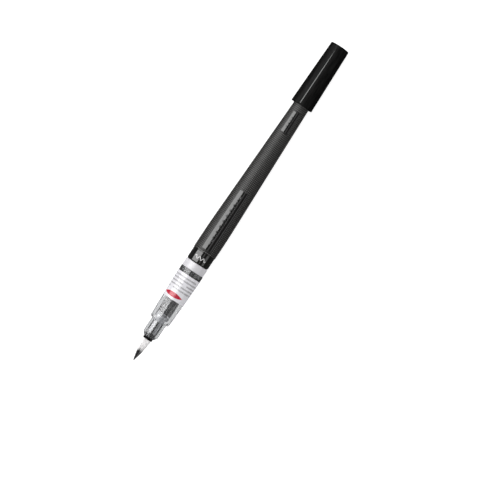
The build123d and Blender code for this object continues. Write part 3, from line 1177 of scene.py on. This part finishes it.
    def build_marks(self, finishes: Finishes) -> None:
        """Raised wavy ornament on the long panel, pips on the short one and a white wave on the band.

        Args:
            finishes: The finishes.
        """
        sink = self.dot_height + self.ripple_sink
        line = self.ripple(*self.ripple_ends, self.ripple_waves, self.ripple_swing, sink)
        wave = stroke("panel_ripple", line, self.ripple_bead)
        dress(wave, finishes.barrel)
        hand_over(wave, "barrel", "barrel_plastic")
        pips = []
        for index, station in enumerate(self.pips):
            sides = [self.pip_half_width * share for share in (-1.0, -0.5, 0.0, 0.5, 1.0)]
            radius = self.body_radius(station) - self.dot_height - self.pip_sink
            path = [spot(station + self.pip_slant * side, radius, side / radius) for side in sides]
            pips.append(stroke(f"panel_pip_{index}", path, self.pip_bead))
        pip = join(pips)
        pip.name = "panel_pips"
        dress(pip, finishes.barrel)
        hand_over(pip, "barrel", "barrel_plastic")
        path = []
        for step in range(self.wave_steps + 1):
            share = step / self.wave_steps
            station = self.wave_station + self.wave_swing * math.sin(FULL_TURN * self.waves * share)
            angle = math.radians(self.wave_half_arc * (1.0 - 2.0 * share))
            path.append(spot(station, self.band_radius - self.wave_sink, angle))
        mark = stroke("band_wave", path, self.wave_bead, 4)
        dress(mark, finishes.white_print)
        hand_over(mark, "barrel", "barrel_plastic")


@dataclass
class FrontSection:
    """Clear nozzle and grip, its printed film and the spacer ring behind it. Sizes are in mm."""

    segments: int = 128
    end: float = 54.1
    end_radius: float = 6.35
    grip_middle: float = 36.5
    middle_radius: float = 5.95
    film_end: float = 51.2
    film_gap: float = 0.02
    film_thickness: float = 0.1
    ring_front: float = 54.15
    ring_end: float = 58.45
    ring_radius: float = 6.2
    ring_bore: float = 4.6
    ring_round: float = 0.25
    mouth: float = 13.9
    mouth_bore: float = 2.6
    mouth_radius: float = 2.85
    nozzle_front: float = 15.7
    nozzle_end: float = 23.2
    nozzle_radius: float = 4.15
    shoulder: float = 24.0
    shoulder_radius: float = 5.45
    rear_bore: float = 4.65
    rear_front: float = 45.6
    thread_bore: float = 4.35
    thread_front: float = 38.4
    chamber_bore: float = 3.95
    chamber_front: float = 25.6
    feed_end: float = 24.3
    feed_bore: float = 3.05
    feed_front: float = 15.5
    seat: float = 14.4
    edge_round: float = 0.12
    tooth_front: float = 39.95
    tooth_root: float = 4.5
    tooth_crest: float = 3.9

    def outer_radius(self, station: float) -> float:
        """Radius of the grip behind its middle, in mm."""
        share = (station - self.grip_middle) / (self.end - self.grip_middle)
        return self.middle_radius + share * (self.end_radius - self.middle_radius)

    def build_section(self, finishes: Finishes) -> None:
        """Model the clear moulding with the thread in it.

        Args:
            finishes: The finishes.
        """
        outline = [
            (self.mouth, self.mouth_bore),
            (self.mouth, self.mouth_radius),
            (self.nozzle_front, self.nozzle_radius),
            (self.nozzle_end, self.nozzle_radius),
            (self.shoulder, self.shoulder_radius),
            (self.grip_middle, self.middle_radius),
            (self.end, self.end_radius),
            (self.end, self.rear_bore),
            (self.rear_front, self.rear_bore),
            (self.rear_front, self.thread_bore),
            (self.thread_front, self.thread_bore),
            (self.thread_front, self.chamber_bore),
            (self.chamber_front, self.chamber_bore),
            (self.feed_end, self.feed_bore),
            (self.feed_front, self.feed_bore),
            (self.seat, self.mouth_bore),
            (self.mouth, self.mouth_bore),
        ]
        piece = lathe("clear_section", outline, self.segments)
        break_edges(piece, self.edge_round)
        smooth(piece)
        tooth = Thread().build("section_thread", self.tooth_front, self.tooth_root, self.tooth_crest)
        piece = join([piece, tooth])
        dress(piece, finishes.clear)
        hand_over(piece, "front", "clear_plastic", "front_section")

    def build_film(self, finishes: Finishes) -> None:
        """Model the printed film.

        Args:
            finishes: The finishes.
        """
        front = self.grip_middle + self.film_gap
        inner, outer = self.film_gap, self.film_thickness
        outline = [
            (front, self.outer_radius(front) + inner),
            (front, self.outer_radius(front) + outer),
            (self.film_end, self.outer_radius(self.film_end) + outer),
            (self.film_end, self.outer_radius(self.film_end) + inner),
            (front, self.outer_radius(front) + inner),
        ]
        piece = lathe("grip_film", outline, self.segments)
        break_edges(piece, 0.02, segments=1)
        smooth(piece)
        dress(piece, finishes.film)
        hand_over(piece, "front", "printed_film", "grip_label")

    def build_ring(self, finishes: Finishes) -> None:
        """Model the spacer ring with its outer edges rounded.

        Args:
            finishes: The finishes.
        """
        turn = self.ring_round
        outline = [(self.ring_front, self.ring_bore), (self.ring_front, self.ring_radius - turn)]
        outline += arc(self.ring_front + turn, self.ring_radius - turn, turn, 180.0, 90.0)[1:]
        outline += arc(self.ring_end - turn, self.ring_radius - turn, turn, 90.0, 0.0)
        outline += [(self.ring_end, self.ring_bore), (self.ring_front, self.ring_bore)]
        piece = lathe("white_spacer", outline, self.segments)
        smooth(piece)
        dress(piece, finishes.ring)
        hand_over(piece, "ring", "white_plastic", "spacer_ring")

    def build(self, finishes: Finishes) -> None:
        """Build the clear section, the film and the ring.

        Args:
            finishes: The finishes.
        """
        self.build_section(finishes)
        self.build_film(finishes)
        self.build_ring(finishes)


@dataclass
class BrushHead:
    """Brush tuft of many hairs in its black holder. Sizes are in mm."""

    segments: int = 80
    hairs: int = 640
    hair_radius: float = 0.105
    shrink: float = 0.99975
    holder_front: float = 12.6
    holder_radius: float = 2.55
    collar_radius: float = 2.95
    collar_end: float = 16.3
    leg_inner: float = 2.35
    leg_length: float = 6.6
    legs: int = 4
    leg_faces: int = 4
    tuft_bore: float = 2.12
    sleeve_end: float = 14.4
    collar_front: float = 15.5
    stem_radius: float = 1.75
    stem_end: float = 20.0
    wick_bore: float = 0.8
    tuft_seat: float = 15.62
    knots: tuple[tuple[float, float], ...] = (
        (0.0, 0.15), (1.6, 0.56), (5.0, 1.32), (8.6, 1.84), (12.6, 2.1), (15.5, 2.1)
    )
    hair_stations: tuple[float, ...] = (0.0, 1.6, 3.4, 5.0, 6.8, 8.6, 10.6, 12.6, 15.4)
    point_radius: float = 0.03
    point_length: float = 5.0
    spiral_step: float = 137.508
    core_share: float = 0.9
    seed: int = 11

    def tuft_radius(self, station: float) -> float:
        """Radius of the tuft's outline, in mm.

        Args:
            station: Station, in mm.

        Returns:
            The radius, in mm.
        """
        for (start, low), (end, high) in zip(self.knots, self.knots[1:]):
            if station <= end:
                return low + (high - low) * (station - start) / (end - start)
        return self.knots[-1][1]

    def build_holder(self, finishes: Finishes) -> None:
        """Model the ferrule and pull its legs out of the collar's rear face.

        Args:
            finishes: The finishes.
        """
        outline = [
            (self.holder_front, self.tuft_bore),
            (self.holder_front, self.holder_radius),
            (self.sleeve_end, self.holder_radius),
            (self.collar_front, self.collar_radius),
            (self.collar_end, self.collar_radius),
            (self.collar_end, self.leg_inner),
            (self.collar_end, self.stem_radius),
            (self.stem_end, self.stem_radius),
            (self.stem_end, self.wick_bore),
            (self.tuft_seat, self.wick_bore),
            (self.tuft_seat, self.tuft_bore),
            (self.holder_front, self.tuft_bore),
        ]
        piece = lathe("brush_ferrule", outline, self.segments)
        reach = math.pi * self.leg_faces / self.segments

        def on_leg(place: Vector, normal: Vector) -> bool:
            """Whether a face of the collar's rear side belongs to a leg.

            Args:
                place: The face's middle.
                normal: The face's normal.

            Returns:
                True on a leg.
            """
            turn = angle_of(place) % (FULL_TURN / self.legs)
            near = min(turn, FULL_TURN / self.legs - turn) < reach
            outer = radius_of(place) > self.leg_inner
            return near and outer and normal.x > 0.9 and abs(station_of(place) - self.collar_end) < 0.01

        pick(piece, Pick.FACES, on_leg)
        length = (self.leg_length * MM, 0.0, 0.0)
        bpy.ops.mesh.extrude_region_move(TRANSFORM_OT_translate={"value": length})
        bpy.ops.object.mode_set(mode="OBJECT")
        break_edges(piece, 0.09, 50.0)
        smooth(piece)
        dress(piece, finishes.holder)
        hand_over(piece, "front", "black_gloss", "brush_holder")

    def build_tuft(self, finishes: Finishes) -> None:
        """Model one hair, array it in a spiral over a solid core and vary the hairs.

        Args:
            finishes: The finishes.
        """
        stations = self.hair_stations
        clear_selection()
        bpy.ops.mesh.primitive_circle_add(
            vertices=4,
            radius=self.point_radius * MM,
            fill_type="NGON",
            rotation=(0.0, math.pi / 2, 0.0),
            location=spot(stations[0], self.tuft_radius(stations[0])),
        )
        hair = bpy.context.active_object
        hair.name = "brush_hairs"
        apply_place(hair)
        pick(hair, Pick.FACES, lambda place, normal: True)
        thickness = self.point_radius
        for start, end in zip(stations, stations[1:]):
            drop = self.tuft_radius(end) - self.tuft_radius(start)
            move = ((end - start) * MM, 0.0, drop * MM)
            bpy.ops.mesh.extrude_region_move(TRANSFORM_OT_translate={"value": move})
            wanted = self.hair_radius * min(1.0, 0.35 + end / 8.0)
            share = wanted / thickness
            thickness = wanted
            middle = spot(end, self.tuft_radius(end))
            bpy.ops.transform.resize(value=(1.0, share, share), center_override=middle)
        close_up(hair)
        points_each = len(hair.data.vertices)
        bpy.context.scene.cursor.location = spot(0.0)
        take(hair)
        bpy.ops.object.origin_set(type="ORIGIN_CURSOR")
        bpy.ops.object.empty_add(location=spot(0.0), rotation=(math.radians(self.spiral_step), 0.0, 0.0))
        turn = bpy.context.active_object
        turn.scale = (1.0, self.shrink, self.shrink)
        bpy.context.view_layer.update()
        apply_modifier(
            hair,
            "ARRAY",
            count=self.hairs,
            use_relative_offset=False,
            use_object_offset=True,
            offset_object=turn,
        )
        bpy.data.objects.remove(turn)
        apply_place(hair)
        bpy.context.scene.cursor.location = (0.0, 0.0, 0.0)
        self.vary(hair, points_each)
        sides = [(at, self.core_share * self.tuft_radius(at)) for at in stations[1:]]
        core = lathe("brush_core", [(0.1, 0.0), *sides, (self.collar_front, 0.0)], 32)
        strand = core.data.attributes.new("strand", "FLOAT", "POINT")
        strand.data.foreach_set("value", [0.5] * len(core.data.vertices))
        tuft = join([hair, core])
        smooth(tuft, 60.0)
        tuft.name = "brush_hairs"
        dress(tuft, finishes.bristle)
        hand_over(tuft, "front", "bristle", "brush_tuft")

    def vary(self, hair: bpy.types.Object, points_each: int) -> None:
        """Give every hair its own value and its own small bow.

        Args:
            hair: All hairs as one mesh, hair after hair.
            points_each: Number of points of one hair.
        """
        rng = random.Random(self.seed)
        values = []
        mesh = hair.data
        for first in range(0, len(mesh.vertices), points_each):
            value = rng.random()
            bow = rng.uniform(-0.035, 0.0)
            sway = rng.uniform(-0.03, 0.03)
            set_back = rng.uniform(0.0, 0.6) ** 2
            for point in mesh.vertices[first:first + points_each]:
                station, radius, angle = station_of(point.co), radius_of(point.co), angle_of(point.co)
                bulge = math.sin(math.pi * min(1.0, station / self.holder_front))
                pull = set_back * max(0.0, 1.0 - station / self.point_length)
                point.co = spot(station + pull, radius * (1 + bow * bulge), angle + sway * bulge)
                values.append(value)
        strand = mesh.attributes.new("strand", "FLOAT", "POINT")
        strand.data.foreach_set("value", values)

    def build(self, finishes: Finishes) -> None:
        """Build the holder and the tuft."""
        self.build_holder(finishes)
        self.build_tuft(finishes)


@dataclass
class Cap:
    """Tapered satin cap with one slim rib along it. Sizes are in mm."""

    segments: int = 144
    mouth: float = 154.3
    mouth_radius: float = 6.0
    mouth_bore: float = 5.45
    end: float = 190.0
    end_radius: float = 5.12
    end_round: float = 0.5
    rib_angle: float = 12.5
    rib_front: float = 154.9
    rib_end: float = 188.9
    rib_height: float = 0.2
    roof: float = 1.5
    roof_bore: float = 4.5
    bore_step: float = 162.3
    rear_bore: float = 4.95
    front_bore: float = 5.2
    lead_in: float = 0.2
    mouth_round: float = 0.1

    def outer_radius(self, station: float) -> float:
        """Radius of the cap's outside, in mm."""
        share = (station - self.mouth) / (self.end - self.mouth)
        return self.mouth_radius + share * (self.end_radius - self.mouth_radius)

    def build(self, finishes: Finishes) -> None:
        """Model the shell, raise the rib and hand the cap over.

        Args:
            finishes: The finishes.
        """
        corner = self.end - self.end_round
        outline = [
            (self.end - self.roof, 0.0),
            (self.end - self.roof, self.roof_bore),
            (self.bore_step, self.rear_bore),
            (self.bore_step, self.front_bore),
            (self.mouth + self.lead_in, self.mouth_bore),
            (self.mouth, self.mouth_bore + self.lead_in),
            (self.mouth, self.mouth_radius - self.mouth_round),
            (self.mouth + self.mouth_round, self.mouth_radius),
            (self.rib_front, self.outer_radius(self.rib_front)),
            (self.rib_end, self.outer_radius(self.rib_end)),
            *arc(corner, self.outer_radius(corner) - self.end_round, self.end_round, 90.0, 0.0),
            (self.end, 0.0),
        ]
        piece = lathe("cap_body", outline, self.segments)
        centre = math.radians(self.rib_angle)
        half = FULL_TURN / self.segments

        def on_rib(place: Vector, normal: Vector) -> bool:
            """Whether a face of the outside lies under the rib.

            Args:
                place: The face's middle.
                normal: The face's normal; not used.

            Returns:
                True under the rib.
            """
            inside = self.rib_front < station_of(place) < self.rib_end
            outer = radius_of(place) > self.outer_radius(station_of(place)) - 0.1
            return inside and outer and abs(angle_of(place) - centre) < half

        pick(piece, Pick.FACES, on_rib)
        bpy.ops.mesh.extrude_region_shrink_fatten(TRANSFORM_OT_shrink_fatten={"value": self.rib_height * MM})
        bpy.ops.object.mode_set(mode="OBJECT")
        break_edges(piece, 0.08, 40.0)
        smooth(piece)
        dress(piece, finishes.cap)
        piece.data.materials.append(finishes.rib)
        for face in piece.data.polygons:
            height = radius_of(face.center) - self.outer_radius(station_of(face.center))
            face.material_index = int(height > self.rib_height / 4)
        hand_over(piece, "cap", "cap_plastic", "cap_shell")


@dataclass
class InnerParts:
    """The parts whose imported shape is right, dressed in better finishes."""

    def build(self, finishes: Finishes) -> None:
        """Dress each kept part.

        Args:
            finishes: The finishes.
        """
        kept = {
            "feed_tube": finishes.grey, "ink_wick": finishes.fibre, "flow_plug": finishes.fibre,
            "neck_stopper": finishes.natural, "ink_charge": finishes.ink, "cap_liner": finishes.natural,
        }
        for name, material in kept.items():
            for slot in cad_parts[name].material_slots:
                slot.material = material
            LOG.info("%s: kept from the packed model, in %s", name, material.name)


# --- Studio ----------------------------------------------------------------
@dataclass(frozen=True)
class Softbox:
    """A rectangular lamp facing the pen. Sizes are in metres."""

    name: str
    off_vertical: float
    half_spread: float
    length: float
    radiance: float
    shift: float = 0.0
    distance: float = 1.0
    glossy: bool = True
    diffuse: bool = True

    def build(self) -> None:
        """Add the lamp over the pen's middle."""
        tilt = math.radians(self.off_vertical)
        place = (self.shift, self.distance * math.sin(tilt), self.distance * math.cos(tilt))
        lamp = bpy.data.lights.new(self.name, "AREA")
        lamp.shape = "RECTANGLE"
        lamp.size = self.length
        lamp.size_y = 2 * self.distance * math.tan(math.radians(self.half_spread))
        lamp.energy = self.radiance * math.pi * lamp.size * lamp.size_y
        holder = bpy.data.objects.new(self.name, lamp)
        holder.location = place
        holder.rotation_euler = (-tilt, 0.0, 0.0)
        holder.visible_camera = False
        holder.visible_glossy = self.glossy
        holder.visible_diffuse = self.diffuse
        holder.visible_transmission = self.glossy
        bpy.context.scene.collection.objects.link(holder)


@dataclass
class Studio:
    """Pale floor, soft lamps and the camera. Sizes are in metres."""

    floor_size: float = 6.0
    camera_height: float = 1.2
    camera_turn: float = -56.54
    aim: tuple[float, float] = (-0.01452, -0.0115)
    field_width: float = 0.2432
    sensor: float = 36.0

    def reflection_only(self, board: Board) -> Socket:
        """Mask that is 1 for what is seen in a reflection and 0 for what is seen through a clear part.

        Args:
            board: Board to build on.

        Returns:
            The mask.
        """
        path = board.node("LightPath")
        not_through = board.calc("SUBTRACT", 1.0, path.outputs["Is Transmission Ray"])
        return board.calc("MULTIPLY", path.outputs["Is Glossy Ray"], not_through)

    def build_floor(self) -> None:
        """Add the floor, a flat sheet that glows softly and looks dull in reflections."""
        clear_selection()
        bpy.ops.mesh.primitive_plane_add(size=self.floor_size, location=(0.0, 0.0, 0.0))
        floor = bpy.context.active_object
        floor.name = "studio_floor"
        material, board, shader = new_material("pale_floor")
        output = next(node for node in board.tree.nodes if node.type == "OUTPUT_MATERIAL")
        noise = board.node("TexNoise")
        board.feed(noise.inputs["Vector"], board.node("TexCoord").outputs["Object"])
        board.feed(noise.inputs["Scale"], 6.0)
        pale = board.blend(noise.outputs["Fac"], (0.5, 0.5, 0.5), (0.52, 0.52, 0.52))
        board.feed(shader.inputs["Base Color"], pale)
        shader.inputs["Roughness"].default_value = 0.9
        shader.inputs["Specular IOR Level"].default_value = 0.1
        shader.inputs["Emission Color"].default_value = (1.0, 1.0, 1.0, 1.0)
        shader.inputs["Emission Strength"].default_value = 0.85
        dull = board.node("BsdfDiffuse")
        dull.inputs["Color"].default_value = (0.12, 0.12, 0.12, 1.0)
        swap = board.node("MixShader")
        board.feed(swap.inputs[0], self.reflection_only(board))
        board.feed(swap.inputs[1], shader.outputs[0])
        board.feed(swap.inputs[2], dull.outputs[0])
        board.feed(output.inputs["Surface"], swap.outputs[0])
        dress(floor, material)

    def build_world(self) -> None:
        """Add even light from all round, dim in reflections."""
        world = bpy.data.worlds.new("studio")
        bpy.context.scene.world = world
        world.use_nodes = True
        board = Board(world.node_tree)
        board.tree.nodes.clear()
        even = board.node("Background")
        even.inputs["Strength"].default_value = 0.55
        dim = board.node("Background")
        dim.inputs["Strength"].default_value = 0.08
        swap = board.node("MixShader")
        board.feed(swap.inputs[0], self.reflection_only(board))
        board.feed(swap.inputs[1], even.outputs[0])
        board.feed(swap.inputs[2], dim.outputs[0])
        white = board.node("Background")
        white.inputs["Strength"].default_value = 1.0
        seen = board.node("MixShader")
        board.feed(seen.inputs[0], board.node("LightPath").outputs["Is Camera Ray"])
        board.feed(seen.inputs[1], swap.outputs[0])
        board.feed(seen.inputs[2], white.outputs[0])
        board.feed(board.node("OutputWorld").inputs["Surface"], seen.outputs[0])

    def build_camera(self) -> None:
        """Add the camera, straight above the pen."""
        camera = bpy.data.cameras.new("camera")
        camera.sensor_width = self.sensor
        camera.lens = self.sensor * (self.camera_height - AXIS_Z * MM) / self.field_width
        camera.clip_start = 0.01
        camera.clip_end = 50.0
        holder = bpy.data.objects.new("camera", camera)
        holder.location = (*self.aim, self.camera_height)
        holder.rotation_euler = (0.0, 0.0, math.radians(self.camera_turn))
        bpy.context.scene.collection.objects.link(holder)
        bpy.context.scene.camera = holder

    def build(self) -> None:
        """Build the floor, the light and the camera."""
        scene = bpy.context.scene
        scene.view_settings.view_transform = "Standard"
        self.build_floor()
        self.build_world()
        Softbox(
            "key_softbox", off_vertical=40.0, half_spread=31.0, length=1.0, radiance=7.0, diffuse=False
        ).build()
        Softbox(
            "key_wash", off_vertical=35.0, half_spread=30.0, length=1.4, radiance=1.6, glossy=False
        ).build()
        Softbox(
            "near_strip", off_vertical=-14.0, half_spread=5.0, length=1.0, radiance=1.3, diffuse=False
        ).build()
        Softbox(
            "far_strip", off_vertical=-53.0, half_spread=11.0, length=1.0, radiance=1.7, diffuse=False
        ).build()
        self.build_camera()


def main() -> None:
    """Build the pen and its studio in order."""
    logging.basicConfig(level=logging.INFO, format="%(name)s: %(message)s")
    finishes = Finishes()
    BrushHead().build(finishes)
    FrontSection().build(finishes)
    Barrel().build(finishes)
    Cap().build(finishes)
    InnerParts().build(finishes)
    Studio().build()


if __name__ == "__main__":
    main()
